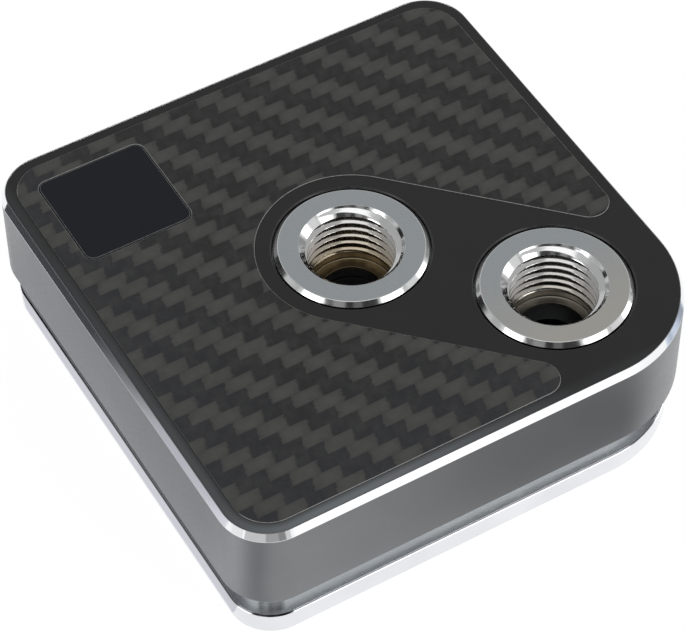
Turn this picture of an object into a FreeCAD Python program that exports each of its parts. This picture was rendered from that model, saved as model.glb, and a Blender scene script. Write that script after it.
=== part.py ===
import FreeCAD, Part
import math
import os
import re

import Sketcher

# Liquid cooling cold plate: a square metal housing with two threaded ports over a finned copper base.
# Millimetres. The contact face lies on z = 0 and the housing is centred on the Z axis. The inlet is at
# the centre, and the outlet lies towards the large round corner at +X -Y, which is centred near it.

DRIVING_SIZES = [
    ("housing_side", 71.0, "outer width of the square housing"),
    ("housing_corner", 6.8, "radius of three upright corners"),
    ("port_corner", 16.3, "radius of the upright corner beside the outlet"),
    ("rim_height", 13.6, "overhanging rim, from its lower edge to the top face"),
    ("chamfer_run", 0.55, "polished top chamfer, measured inwards"),
    ("chamfer_drop", 1.05, "polished top chamfer, measured downwards"),
    ("rim_land", 0.12, "flat metal left between the chamfer and the cover plate"),
    ("neck_inset", 2.4, "neck set back from the rim's wall"),
    ("groove_height", 4.4, "open groove between the rim and the cold plate"),
    ("base_thickness", 3.4, "cold plate thickness"),
    ("base_inset", 0.95, "cold plate set back from the rim's wall"),
    ("base_edge", 0.2, "broken edges of the cold plate"),
    ("channel_count", 35, "micro channels milled in the cold plate"),
    ("channel_pitch", 0.8, "spacing of the micro channels"),
    ("channel_width", 0.4, "width of one micro channel"),
    ("channel_floor", 1.4, "copper left under the micro channels"),
    ("channel_exit", 2.15, "micro channels' run beyond the flow guide, at each end"),
    ("chamber_wall", 1.7, "metal between the coolant chamber and the base seal's groove"),
    ("chamber_corner", 5.0, "upright corner radius of the coolant chamber"),
    ("roof_web", 2.6, "metal between the collars' bores and the coolant chamber"),
    ("screw_wall", 0.85, "metal between the base seal's groove and the base screws"),
    ("seal_corner", 9.0, "base seal, corner radius of the centre line"),
    ("seal_width", 1.8, "base seal, squeezed width"),
    ("seal_height", 1.5, "base seal, squeezed height, and the depth of its groove"),
    ("seal_play", 0.1, "room beside the base seal in its groove"),
    ("jet_side", 31.0, "jet plate width"),
    ("jet_thickness", 0.8, "jet plate thickness"),
    ("jet_slot_length", 26.0, "slot in the jet plate, across the channels"),
    ("jet_slot_width", 2.4, "slot in the jet plate, along the channels"),
    ("guide_wall", 0.8, "flow guide's lip round the jet plate"),
    ("guide_play", 0.05, "room between the jet plate and the lip"),
    ("guide_slot_width", 6.0, "slot in the flow guide above the jet plate"),
    ("guide_slot_height", 2.4, "height of the slot in the flow guide"),
    ("spigot_radius", 6.0, "flow guide's spigot in the housing's roof"),
    ("spigot_height", 1.0, "height of the spigot"),
    ("spigot_end_gap", 0.2, "room above the spigot in its recess"),
    ("guide_seal_width", 1.4, "guide seal's squeezed width round the spigot"),
    ("peg_radius", 1.2, "pegs that stop the flow guide from turning"),
    ("peg_height", 1.4, "height of the pegs"),
    ("peg_reach", 12.0, "pegs' distance from the centre"),
    ("peg_play", 0.05, "room round and above the pegs"),
    ("port_spacing", 26.8, "distance between the two ports, along the diagonal"),
    ("thread_radius", 5.72, "minor radius of the port thread"),
    ("mouth_step", 1.21, "collar's mouth wider than the thread, on the radius"),
    ("mouth_lip", 0.25, "straight lip at the collar's mouth"),
    ("port_depth", 8.2, "from the collar's top to the ledge under the thread"),
    ("passage_radius", 4.1, "coolant passage under the thread"),
    ("shank_wall", 2.28, "collar's wall between the port thread and its outside thread"),
    ("ledge_thickness", 1.45, "collar's ledge under the port thread"),
    ("flange_lap", 0.57, "flange's rim beyond the collar seal's seat"),
    ("collar_bevel", 0.58, "polished bevel round the collar's top"),
    ("collar_rise", 0.45, "collar's top above the cover plate"),
    ("collar_gap", 0.43, "open ring between the collar and the cover plate"),
    ("shank_edge", 0.5, "chamfer at the shank's end"),
    ("shank_play", 0.05, "room between the shank's thread and the housing"),
    ("shank_end_gap", 0.2, "room under the shank's end"),
    ("collar_seal_width", 1.5, "collar seal's squeezed width"),
    ("collar_seal_height", 0.9, "collar seal's squeezed height, and the depth of its seat"),
    ("collar_seal_play", 0.1, "room round the collar seal in its seat"),
    ("seal_round", 0.35, "rounding of the small seals"),
    ("cover_thickness", 1.5, "black cover plate"),
    ("cover_play", 0.03, "room between the cover plate and the housing's land"),
    ("inlay_margin", 1.35, "black border outside the carbon inlay"),
    ("inlay_corner", 4.9, "inlay's outer corner radius"),
    ("inlay_thickness", 0.5, "carbon inlay"),
    ("inlay_recess", 0.4, "depth of the inlay's recess in the cover plate"),
    ("inlay_play", 0.05, "room round the inlay in its recess"),
    ("slot_border", 1.95, "black border between the collars' openings and the inlay's slot"),
    ("tip_radius", 2.8, "rounding of the inlay's two pointed ends"),
    ("badge_side", 15.3, "badge plate width"),
    ("badge_corner", 1.3, "badge plate corner radius"),
    ("badge_margin", 3.15, "strip of inlay between its edges and the badge plate"),
    ("badge_thickness", 0.5, "badge plate"),
    ("badge_play", 0.12, "room round the badge plate in the inlay"),
    ("screw_play", 0.05, "room round the screws"),
    ("base_screw_inset", 3.5, "base screws' distance from the neck's wall"),
    ("base_screw_radius", 1.5, "base screw's shank"),
    ("base_head_radius", 2.8, "base screw's countersunk head"),
    ("base_head_recess", 0.2, "base screw's head below the contact face"),
    ("base_screw_length", 8.0, "base screw, head included"),
    ("base_socket_radius", 1.15, "base screw's hexagon socket, across its corners, halved"),
    ("base_socket_depth", 1.0, "base screw's socket depth"),
    ("base_hole_spare", 0.8, "blind hole left beyond a base screw's end"),
    ("cover_screw_inset", 6.8, "cover screws' distance from the cover plate's edge"),
    ("cover_screw_border", 4.42, "two lower cover screws' distance from the inlay's slot"),
    ("cover_screw_radius", 1.0, "cover screw's shank"),
    ("cover_head_radius", 1.7, "cover screw's countersunk head"),
    ("cover_head_recess", 0.05, "cover screw's head below the inlay"),
    ("cover_screw_length", 4.5, "cover screw, head included"),
    ("cover_socket_radius", 0.7, "cover screw's hexagon socket, across its corners, halved"),
    ("cover_socket_depth", 0.5, "cover screw's socket depth"),
    ("cover_hole_spare", 0.5, "blind hole left beyond a cover screw's end"),
    ("screw_tip", 0.25, "chamfer at a screw's end"),
]

# Places and half widths, worked out from the driving sizes.
OUTLET_X = "(port_spacing * sqrt(0.5))"
OUTLET_Y = "(-port_spacing * sqrt(0.5))"
PORTS = [("0", "0"), (OUTLET_X, OUTLET_Y)]
HOUSING_HALF = "(housing_side / 2)"
NECK_HALF = f"({HOUSING_HALF} - neck_inset)"
BASE_HALF = f"({HOUSING_HALF} - base_inset)"
COVER_OPENING_HALF = f"({HOUSING_HALF} - chamfer_run - rim_land)"
COVER_HALF = f"({COVER_OPENING_HALF} - cover_play)"
INLAY_HALF = f"({COVER_HALF} - inlay_margin)"
GUIDE_HALF = "(jet_side / 2 + guide_play + guide_wall)"
SCREW_ROW = f"({NECK_HALF} - base_screw_inset)"
GROOVE_HALF_WIDTH = "(seal_width / 2 + seal_play)"
SEAL_HALF = f"({SCREW_ROW} - base_screw_radius - screw_play - screw_wall - {GROOVE_HALF_WIDTH})"
CHAMBER_HALF = f"({SEAL_HALF} - {GROOVE_HALF_WIDTH} - chamber_wall)"
COVER_SCREW_ROW = f"({COVER_HALF} - cover_screw_inset)"
BADGE_REACH = f"({INLAY_HALF} - badge_margin - badge_side / 2)"

# The collar's radii, from the thread outwards.
MOUTH_RADIUS = "(thread_radius + mouth_step)"
SHANK_RADIUS = "(thread_radius + shank_wall)"
COLLAR_SEAL_RADIUS = f"({SHANK_RADIUS} + collar_seal_width)"
COLLAR_SEAT_RADIUS = f"({COLLAR_SEAL_RADIUS} + collar_seal_play)"
COLLAR_RADIUS = f"({COLLAR_SEAT_RADIUS} + flange_lap)"
OPENING_RADIUS = f"({COLLAR_RADIUS} + collar_gap)"
SLOT_HALF = f"({OPENING_RADIUS} + slot_border)"

# Heights, from the contact face up, then from the cover plate down.
RIM_BOTTOM = "(base_thickness + groove_height)"
TOP = f"({RIM_BOTTOM} + rim_height)"
COVER_FLOOR = f"({TOP} - cover_thickness)"
INLAY_FLOOR = f"({TOP} - inlay_recess)"
SHANK_LENGTH = "(port_depth + ledge_thickness - cover_thickness - collar_rise)"
COLLAR_BORE_DEPTH = f"({SHANK_LENGTH} + shank_end_gap)"
ROOF = f"({COVER_FLOOR} - {COLLAR_BORE_DEPTH} - roof_web)"
CHAMBER_HEIGHT = f"({ROOF} - base_thickness)"
SPIGOT_SEAT_DEPTH = "(spigot_height + spigot_end_gap)"

doc = FreeCAD.newDocument("ColdPlate")
sizes = doc.addObject("Spreadsheet::Sheet", "Sizes")
for row, (alias, value, note) in enumerate(DRIVING_SIZES, start=1):
    sizes.set(f"A{row}", alias)
    sizes.set(f"B{row}", str(value))
    sizes.set(f"C{row}", note)
    sizes.setAlias(f"B{row}", alias)
doc.recompute()

ALIASES = {alias for alias, value, note in DRIVING_SIZES}
Z_AXIS = FreeCAD.Vector(0, 0, 1)
ORIGIN = (-1, 1)
bodies = []


def tied(formula):
    """Rewrites a formula in size names as an expression that reads the size sheet."""
    return re.sub(r"[a-z_]+", lambda word: f"Sizes.{word[0]}" if word[0] in ALIASES else word[0], formula)


def amount(formula):
    """Gives a formula's present value."""
    return float(sizes.evalExpression(tied(formula)))


def new_body(label, x="0", y="0", z="0"):
    """Starts one sub-part, placed by formulas."""
    body = doc.addObject("PartDesign::Body", label)
    body.Label = label
    for axis, formula in zip("xyz", (x, y, z)):
        body.setExpression(f"Placement.Base.{axis}", tied(formula))
    bodies.append(body)
    return body


def new_sketch(body, name, height="0", role="XY_Plane", x="0", y="0"):
    """Adds a sketch on one of the body's own origin planes, moved by formulas."""
    plane = next(item for item in body.Origin.OriginFeatures if item.Role == role)
    sketch = body.newObject("Sketcher::SketchObject", name)
    sketch.AttachmentSupport = [(plane, "")]
    sketch.MapMode = "FlatFace"
    for axis, formula in zip("xyz", (x, y, height)):
        sketch.setExpression(f"AttachmentOffset.Base.{axis}", tied(formula))
    return sketch


def hold(sketch, kind, *where, formula):
    """Adds one constraint whose value follows a formula."""
    index = sketch.addConstraint(Sketcher.Constraint(kind, *where, amount(formula)))
    sketch.setExpression(f"Constraints[{index}]", tied(formula))


def hold_point(sketch, item, end, x, y):
    """Holds one point of the sketch at x, y, or on the sketch's own axis where that is zero."""
    for kind, formula, axis_line in (("DistanceX", x, -2), ("DistanceY", y, -1)):
        if formula == "0":
            sketch.addConstraint(Sketcher.Constraint("PointOnObject", item, end, axis_line))
        else:
            hold(sketch, kind, *ORIGIN, item, end, formula=formula)


def vector(x, y):
    return FreeCAD.Vector(x, y, 0)


def add_arc(sketch, centre, radius, start, end):
    """Adds an arc, anticlockwise from start to end in degrees."""
    circle = Part.Circle(centre, Z_AXIS, radius)
    return sketch.addGeometry(Part.ArcOfCircle(circle, math.radians(start), math.radians(end)))


def add_line(sketch, start, end):
    return sketch.addGeometry(Part.LineSegment(start, end))


def join_smoothly(sketch, pairs):
    """Makes each pair of ends meet with no kink."""
    for first, first_end, second, second_end in pairs:
        sketch.addConstraint(Sketcher.Constraint("Tangent", first, first_end, second, second_end))


def draw_rounded_square(sketch, half, corners):
    """Draws a square about the sketch's origin. The corner radii run anticlockwise from +X +Y."""
    size = amount(half)
    arcs = []
    for quarter, corner in enumerate(corners):
        radius = amount(corner)
        turn = math.radians(45 + 90 * quarter)
        reach = (size - radius) * math.sqrt(2)
        centre = vector(reach * math.cos(turn), reach * math.sin(turn))
        arcs.append(add_arc(sketch, centre, radius, 90 * quarter, 90 * quarter + 90))
        hold(sketch, "Radius", arcs[-1], formula=corner)
    sides = []
    for quarter, arc in enumerate(arcs):
        following = arcs[(quarter + 1) % 4]
        start = sketch.Geometry[arc].EndPoint
        end = sketch.Geometry[following].StartPoint
        side = add_line(sketch, start, end)
        join_smoothly(sketch, [(side, 1, arc, 2), (side, 2, following, 1)])
        sketch.addConstraint(Sketcher.Constraint("Vertical" if quarter % 2 else "Horizontal", side))
        sides.append(side)
    top, left, bottom, right = sides
    hold(sketch, "DistanceY", *ORIGIN, top, 1, formula=half)
    hold(sketch, "DistanceX", left, 1, *ORIGIN, formula=half)
    hold(sketch, "DistanceY", bottom, 1, *ORIGIN, formula=half)
    hold(sketch, "DistanceX", *ORIGIN, right, 1, formula=half)


def housing_corners(inset):
    """Gives the corner radii of an outline that runs a fixed inset inside the housing's wall."""
    plain = f"(housing_corner - {inset})"
    return [plain, plain, plain, f"(port_corner - {inset})"]


def draw_inlay(sketch, grow):
    """Draws the inlay's outline: a square with a slot from the centre through the round corner."""
    half = f"({INLAY_HALF} + {grow})"
    corner = f"(inlay_corner + {grow})"
    tip = f"(tip_radius + {grow})"
    slot = f"({SLOT_HALF} - {grow})"
    size, corner_size, tip_size, slot_size = (amount(item) for item in (half, corner, tip, slot))
    inner = size - corner_size
    tip_x = size - tip_size
    tip_y = (slot_size + tip_size) * math.sqrt(2) - tip_x

    corner_arcs = []
    for quarter, (side_x, side_y) in enumerate([(1, 1), (-1, 1), (-1, -1)]):
        centre = vector(side_x * inner, side_y * inner)
        corner_arcs.append(add_arc(sketch, centre, corner_size, 90 * quarter, 90 * quarter + 90))
    first, second, third = corner_arcs
    low_tip = add_arc(sketch, vector(-tip_y, -tip_x), tip_size, 270, 405)
    port_arc = add_arc(sketch, vector(0, 0), slot_size, 45, 225)
    high_tip = add_arc(sketch, vector(tip_x, tip_y), tip_size, 225, 360)

    def between(start_arc, start_end, end_arc, end_end):
        """Adds the straight line from one arc's end to another's, smooth at both."""
        ends = []
        for arc, end in ((start_arc, start_end), (end_arc, end_end)):
            shape = sketch.Geometry[arc]
            ends.append(shape.StartPoint if end == 1 else shape.EndPoint)
        line = add_line(sketch, *ends)
        join_smoothly(sketch, [(line, 1, start_arc, start_end), (line, 2, end_arc, end_end)])
        return line

    right = between(high_tip, 2, first, 1)
    top = between(first, 2, second, 1)
    left = between(second, 2, third, 1)
    bottom = between(third, 2, low_tip, 1)
    low_side = between(low_tip, 2, port_arc, 2)
    high_side = between(port_arc, 1, high_tip, 1)

    for line, kind in ((right, "Vertical"), (top, "Horizontal"), (left, "Vertical"), (bottom, "Horizontal")):
        sketch.addConstraint(Sketcher.Constraint(kind, line))
    sketch.addConstraint(Sketcher.Constraint("Angle", low_side, math.radians(135)))
    sketch.addConstraint(Sketcher.Constraint("Parallel", low_side, high_side))
    sketch.addConstraint(Sketcher.Constraint("Coincident", port_arc, 3, *ORIGIN))
    hold(sketch, "DistanceX", *ORIGIN, right, 1, formula=half)
    hold(sketch, "DistanceY", *ORIGIN, top, 1, formula=half)
    hold(sketch, "DistanceX", left, 1, *ORIGIN, formula=half)
    hold(sketch, "DistanceY", bottom, 1, *ORIGIN, formula=half)
    for arc in corner_arcs:
        hold(sketch, "Radius", arc, formula=corner)
    for arc in (low_tip, high_tip):
        hold(sketch, "Radius", arc, formula=tip)
    hold(sketch, "Radius", port_arc, formula=slot)


def draw_polygon(sketch, points):
    """Draws a closed outline through points given as pairs of formulas."""
    places = [vector(amount(x), amount(y)) for x, y in points]
    lines = []
    for index, place in enumerate(places):
        lines.append(add_line(sketch, place, places[(index + 1) % len(places)]))
    for index, (x, y) in enumerate(points):
        previous = lines[index - 1]
        sketch.addConstraint(Sketcher.Constraint("Coincident", previous, 2, lines[index], 1))
        hold_point(sketch, lines[index], 1, x, y)


def draw_circles(sketch, centres, radius):
    """Draws one circle of the same radius at each centre."""
    for x, y in centres:
        place = vector(amount(x), amount(y))
        circle = sketch.addGeometry(Part.Circle(place, Z_AXIS, amount(radius)))
        if (x, y) == ("0", "0"):
            sketch.addConstraint(Sketcher.Constraint("Coincident", circle, 3, *ORIGIN))
        else:
            hold_point(sketch, circle, 3, x, y)
        hold(sketch, "Radius", circle, formula=radius)


def draw_slot(sketch, length, width):
    """Draws a slot with round ends that runs along the sketch's Y axis."""
    radius = amount(width) / 2
    reach = amount(length) / 2 - radius
    upper = add_arc(sketch, vector(0, reach), radius, 0, 180)
    lower = add_arc(sketch, vector(0, -reach), radius, 180, 360)
    left = add_line(sketch, vector(-radius, reach), vector(-radius, -reach))
    right = add_line(sketch, vector(radius, -reach), vector(radius, reach))
    join_smoothly(sketch, [(left, 1, upper, 2), (left, 2, lower, 1),
                           (right, 1, lower, 2), (right, 2, upper, 1)])
    sketch.addConstraint(Sketcher.Constraint("Vertical", left))
    hold(sketch, "Radius", upper, formula=f"{width} / 2")
    hold_point(sketch, upper, 3, "0", f"({length} - {width}) / 2")
    hold_point(sketch, lower, 3, "0", f"({width} - {length}) / 2")


def finish(body, feature):
    """Works the new feature out and makes sure that it really changed the sub-part."""
    body.Tip = feature
    doc.recompute()
    before = feature.BaseFeature.Shape.Volume if feature.BaseFeature else 0.0
    if abs(feature.Shape.Volume - before) < 1e-6:
        raise RuntimeError(f"{body.Label}: {feature.Label} changes nothing")
    return feature


def pad(body, name, sketch, length):
    """Raises a sketch upwards."""
    feature = body.newObject("PartDesign::Pad", name)
    feature.Profile = sketch
    feature.setExpression("Length", tied(length))
    return finish(body, feature)


def pocket(body, name, sketch, depth, upwards=False):
    """Cuts a sketch into the body, downwards or upwards."""
    feature = body.newObject("PartDesign::Pocket", name)
    feature.Profile = sketch
    feature.Reversed = upwards
    feature.setExpression("Length", tied(depth))
    return finish(body, feature)


def turn(body, name, points):
    """Turns an outline of radius and height formulas about the body's upright axis."""
    sketch = new_sketch(body, f"{name}_profile", role="XZ_Plane")
    draw_polygon(sketch, points)
    feature = body.newObject("PartDesign::Revolution", name)
    feature.Profile = sketch
    feature.ReferenceAxis = (sketch, ["V_Axis"])
    feature.Angle = 360
    return finish(body, feature)


def countersink(body, name, sketch, diameter, sink_diameter, upwards=False):
    """Drills through the body at each circle of a sketch, with a right-angled countersink."""
    doc.recompute()
    feature = body.newObject("PartDesign::Hole", name)
    feature.Profile = sketch
    feature.Reversed = upwards
    feature.DepthType = "ThroughAll"
    feature.HoleCutType = "Countersink"
    feature.HoleCutCustomValues = True
    feature.HoleCutCountersinkAngle = 90
    feature.setExpression("Diameter", tied(diameter))
    feature.setExpression("HoleCutDiameter", tied(sink_diameter))
    return finish(body, feature)


def edges_where(feature, wanted):
    """Names the edges of a feature that pass a test."""
    return [f"Edge{number}" for number, edge in enumerate(feature.Shape.Edges, start=1) if wanted(edge)]


def at_height(formula):
    """Gives a test for edges that lie level at a height."""
    level = amount(formula)
    return lambda edge: abs(edge.BoundBox.ZMin - level) < 1e-4 and abs(edge.BoundBox.ZMax - level) < 1e-4


def fillet(body, name, feature, wanted, radius):
    """Rounds the edges of the last feature that pass a test."""
    rounding = body.newObject("PartDesign::Fillet", name)
    rounding.Base = (feature, edges_where(feature, wanted))
    rounding.setExpression("Radius", tied(radius))
    return finish(body, rounding)


def chamfer(body, name, feature, wanted, size):
    """Breaks the edges of the last feature that pass a test."""
    breaking = body.newObject("PartDesign::Chamfer", name)
    breaking.Base = (feature, edges_where(feature, wanted))
    breaking.setExpression("Size", tied(size))
    return finish(body, breaking)


def base_screw_centres():
    """Places a base screw at the middle of each side and in each corner of the neck."""
    row = SCREW_ROW
    minus_row = f"(-{row})"
    turn_radius = "(port_corner - neck_inset - base_screw_inset)"
    reach = f"({HOUSING_HALF} - port_corner + {turn_radius} * sqrt(0.5))"
    middles = [(row, "0"), ("0", row), (minus_row, "0"), ("0", minus_row)]
    corners = [(row, row), (minus_row, row), (minus_row, minus_row), (reach, f"(-{reach})")]
    return middles + corners


def cover_screw_centres():
    """Places a cover screw in each plain corner and one beyond each side of the slot."""
    far = COVER_SCREW_ROW
    minus_far = f"(-{far})"
    low = f"({far} - ({SLOT_HALF} + cover_screw_border) * sqrt(2))"
    corners = [(far, far), (minus_far, far), (minus_far, minus_far)]
    return corners + [(far, f"(-{low})"), (low, minus_far)]


def build_cold_plate():
    """Copper base with the micro channels on top and the screws' countersinks underneath."""
    body = new_body("cold_plate")
    outline = new_sketch(body, "base_outline")
    draw_rounded_square(outline, BASE_HALF, housing_corners("base_inset"))
    slab = pad(body, "base_slab", outline, "base_thickness")
    outer = [at_height("0"), at_height("base_thickness")]
    chamfer(body, "base_edges", slab, lambda edge: any(test(edge) for test in outer), "base_edge")

    channel = new_sketch(body, "channel_outline", "base_thickness")
    first_y = "(-(channel_count - 1) * channel_pitch / 2)"
    near = f"({first_y} - channel_width / 2)"
    far = f"({first_y} + channel_width / 2)"
    right = f"({GUIDE_HALF} + channel_exit)"
    left = f"(-{right})"
    draw_polygon(channel, [(left, near), (right, near), (right, far), (left, far)])
    first = pocket(body, "first_channel", channel, "base_thickness - channel_floor")
    pattern = body.newObject("PartDesign::LinearPattern", "channels")
    pattern.Originals = [first]
    pattern.Direction = (channel, ["V_Axis"])
    pattern.setExpression("Length", tied("(channel_count - 1) * channel_pitch"))
    pattern.setExpression("Occurrences", tied("channel_count"))
    finish(body, pattern)

    holes = new_sketch(body, "screw_centres")
    draw_circles(holes, base_screw_centres(), "(base_screw_radius + screw_play)")
    countersink(body, "screw_holes", holes, "2 * (base_screw_radius + screw_play)",
                "2 * (base_head_radius + base_head_recess + screw_play)", upwards=True)


def build_housing():
    """Square rim over a narrower neck, with the coolant chamber below and the port seats above."""
    body = new_body("housing")
    neck_outline = new_sketch(body, "neck_outline", "base_thickness")
    draw_rounded_square(neck_outline, NECK_HALF, housing_corners("neck_inset"))
    pad(body, "neck", neck_outline, "groove_height")
    rim_outline = new_sketch(body, "rim_outline", RIM_BOTTOM)
    draw_rounded_square(rim_outline, HOUSING_HALF, housing_corners("0"))
    rim = pad(body, "rim", rim_outline, "rim_height")
    edge = body.newObject("PartDesign::Chamfer", "top_chamfer")
    edge.Base = (rim, edges_where(rim, at_height(TOP)))
    edge.ChamferType = "Two distances"
    edge.setExpression("Size", tied("chamfer_drop"))
    edge.setExpression("Size2", tied("chamfer_run"))
    finish(body, edge)

    recess = new_sketch(body, "cover_recess_outline", TOP)
    draw_rounded_square(recess, COVER_OPENING_HALF, housing_corners("(chamfer_run + rim_land)"))
    pocket(body, "cover_recess", recess, "cover_thickness")
    chamber = new_sketch(body, "chamber_outline", "base_thickness")
    draw_rounded_square(chamber, CHAMBER_HALF, ["chamber_corner"] * 4)
    pocket(body, "chamber", chamber, CHAMBER_HEIGHT, upwards=True)
    groove = new_sketch(body, "seal_groove_outline", "base_thickness")
    draw_seal_ring(groove, GROOVE_HALF_WIDTH)
    pocket(body, "seal_groove", groove, "seal_height", upwards=True)

    seats = new_sketch(body, "collar_seal_seat_outline", COVER_FLOOR)
    draw_circles(seats, PORTS, COLLAR_SEAT_RADIUS)
    pocket(body, "collar_seal_seats", seats, "collar_seal_height")
    bores = new_sketch(body, "collar_bore_outline", COVER_FLOOR)
    draw_circles(bores, PORTS, f"({SHANK_RADIUS} + shank_play)")
    pocket(body, "collar_bores", bores, COLLAR_BORE_DEPTH)
    passages = new_sketch(body, "passage_outline", ROOF)
    draw_circles(passages, PORTS, "passage_radius")
    pocket(body, "passages", passages, "roof_web", upwards=True)
    spigot_seat = new_sketch(body, "spigot_seat_outline", ROOF)
    draw_circles(spigot_seat, [("0", "0")], "(spigot_radius + guide_seal_width)")
    pocket(body, "spigot_seat", spigot_seat, SPIGOT_SEAT_DEPTH, upwards=True)
    peg_holes = new_sketch(body, "peg_hole_outline", ROOF)
    draw_circles(peg_holes, [("peg_reach", "0"), ("(-peg_reach)", "0")], "(peg_radius + peg_play)")
    pocket(body, "peg_holes", peg_holes, "peg_height + peg_play", upwards=True)

    base_holes = new_sketch(body, "base_screw_outline", "base_thickness")
    draw_circles(base_holes, base_screw_centres(), "(base_screw_radius + screw_play)")
    pocket(body, "base_screw_holes", base_holes,
           "base_screw_length + base_head_recess + base_hole_spare - base_thickness", upwards=True)
    cover_holes = new_sketch(body, "cover_screw_outline", COVER_FLOOR)
    draw_circles(cover_holes, cover_screw_centres(), "(cover_screw_radius + screw_play)")
    pocket(body, "cover_screw_holes", cover_holes,
           "cover_screw_length + cover_head_recess + inlay_recess + cover_hole_spare - cover_thickness")


def draw_seal_ring(sketch, half_width):
    """Draws the inner and outer outlines of the base seal or of its groove."""
    for sign in ("+", "-"):
        corner = f"(seal_corner {sign} {half_width})"
        draw_rounded_square(sketch, f"({SEAL_HALF} {sign} {half_width})", [corner] * 4)


def build_base_seal():
    """Rubber ring squeezed between the neck and the cold plate."""
    body = new_body("base_seal", z="base_thickness")
    outline = new_sketch(body, "seal_outline")
    draw_seal_ring(outline, "(seal_width / 2)")
    ring = pad(body, "seal_ring", outline, "seal_height")
    levels = [at_height("0"), at_height("seal_height")]
    fillet(body, "seal_rounding", ring, lambda edge: any(test(edge) for test in levels), "seal_round")


def build_ring_seal(label, place, z, inner, width, height):
    """Round rubber ring, drawn squeezed."""
    body = new_body(label, *place, z)
    outer = f"({inner} + {width})"
    ring = turn(body, "ring", [(inner, "0"), (outer, "0"), (outer, height), (inner, height)])
    fillet(body, "ring_rounding", ring, lambda edge: edge.Curve.TypeId == "Part::GeomCircle", "seal_round")


def build_jet_plate():
    """Thin steel plate that lies on the fins, with one slot across them."""
    body = new_body("jet_plate", z="base_thickness")
    outline = new_sketch(body, "jet_outline")
    draw_rounded_square(outline, "(jet_side / 2)", ["guide_wall"] * 4)
    draw_slot(outline, "jet_slot_length", "jet_slot_width")
    pad(body, "jet_sheet", outline, "jet_thickness")


def build_flow_guide():
    """Moulded block that leads the coolant from the inlet down to the jet plate's slot."""
    body = new_body("flow_guide", z="base_thickness")
    outline = new_sketch(body, "guide_outline")
    draw_rounded_square(outline, GUIDE_HALF, ["2 * guide_wall"] * 4)
    pad(body, "guide_block", outline, CHAMBER_HEIGHT)
    rebate = new_sketch(body, "jet_rebate_outline")
    draw_rounded_square(rebate, "(jet_side / 2 + guide_play)", ["guide_wall"] * 4)
    pocket(body, "jet_rebate", rebate, "jet_thickness", upwards=True)
    spigot = new_sketch(body, "spigot_outline", CHAMBER_HEIGHT)
    draw_circles(spigot, [("0", "0")], "spigot_radius")
    pad(body, "spigot", spigot, "spigot_height")
    pegs = new_sketch(body, "peg_outline", CHAMBER_HEIGHT)
    draw_circles(pegs, [("peg_reach", "0"), ("(-peg_reach)", "0")], "peg_radius")
    pad(body, "pegs", pegs, "peg_height")
    bore = new_sketch(body, "bore_outline", f"{CHAMBER_HEIGHT} + spigot_height")
    draw_circles(bore, [("0", "0")], "passage_radius")
    pocket(body, "bore", bore, f"{CHAMBER_HEIGHT} + spigot_height - jet_thickness")
    slot = new_sketch(body, "guide_slot_outline", "jet_thickness")
    draw_slot(slot, "jet_slot_length", "guide_slot_width")
    pocket(body, "guide_slot", slot, "guide_slot_height", upwards=True)


def build_collar(label, place):
    """Turned port collar: flange, shank, countersunk mouth, threaded bore and a ledge under it."""
    body = new_body(label, *place, COVER_FLOOR)
    face = "(cover_thickness + collar_rise)"
    turn(body, "collar", [
        (f"({SHANK_RADIUS} - shank_edge)", f"(-{SHANK_LENGTH})"),
        (SHANK_RADIUS, f"(shank_edge - {SHANK_LENGTH})"),
        (SHANK_RADIUS, "0"),
        (COLLAR_RADIUS, "0"),
        (COLLAR_RADIUS, f"({face} - collar_bevel)"),
        (f"({COLLAR_RADIUS} - collar_bevel)", face),
        (MOUTH_RADIUS, face),
        (MOUTH_RADIUS, f"({face} - mouth_lip)"),
        ("thread_radius", f"({face} - mouth_lip - mouth_step)"),
        ("thread_radius", f"({face} - port_depth)"),
        ("passage_radius", f"({face} - port_depth)"),
        ("passage_radius", f"(-{SHANK_LENGTH})"),
    ])


def build_cover_plate():
    """Black plate let into the housing, open round both collars and recessed for the inlay."""
    body = new_body("cover_plate")
    outline = new_sketch(body, "cover_outline", COVER_FLOOR)
    draw_rounded_square(outline, COVER_HALF, housing_corners("(chamfer_run + rim_land + cover_play)"))
    pad(body, "cover_slab", outline, "cover_thickness")
    openings = new_sketch(body, "port_opening_outline", TOP)
    draw_circles(openings, PORTS, OPENING_RADIUS)
    pocket(body, "port_openings", openings, "cover_thickness")
    recess = new_sketch(body, "inlay_recess_outline", TOP)
    draw_inlay(recess, "inlay_play")
    pocket(body, "inlay_recess_cut", recess, "inlay_recess")
    holes = new_sketch(body, "cover_screw_centres", INLAY_FLOOR)
    draw_circles(holes, cover_screw_centres(), "(cover_screw_radius + screw_play)")
    countersink(body, "cover_screw_sinks", holes, "2 * (cover_screw_radius + screw_play)",
                "2 * (cover_head_radius + cover_head_recess + screw_play)")


def build_carbon_inlay():
    """Sheet of carbon fibre with the slot for the ports and a square opening for the badge plate."""
    body = new_body("carbon_inlay", z=INLAY_FLOOR)
    outline = new_sketch(body, "inlay_outline")
    draw_inlay(outline, "0")
    pad(body, "inlay_sheet", outline, "inlay_thickness")
    opening = new_sketch(body, "badge_opening_outline", "inlay_thickness",
                         x=f"(-{BADGE_REACH})", y=BADGE_REACH)
    draw_rounded_square(opening, "(badge_side / 2 + badge_play)", ["(badge_corner + badge_play)"] * 4)
    pocket(body, "badge_opening", opening, "inlay_thickness")


def build_badge_plate():
    """Small bare square plate in the inlay's opening."""
    body = new_body("badge_plate", f"(-{BADGE_REACH})", BADGE_REACH, INLAY_FLOOR)
    outline = new_sketch(body, "badge_outline")
    draw_rounded_square(outline, "(badge_side / 2)", ["badge_corner"] * 4)
    pad(body, "badge", outline, "badge_thickness")


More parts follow.
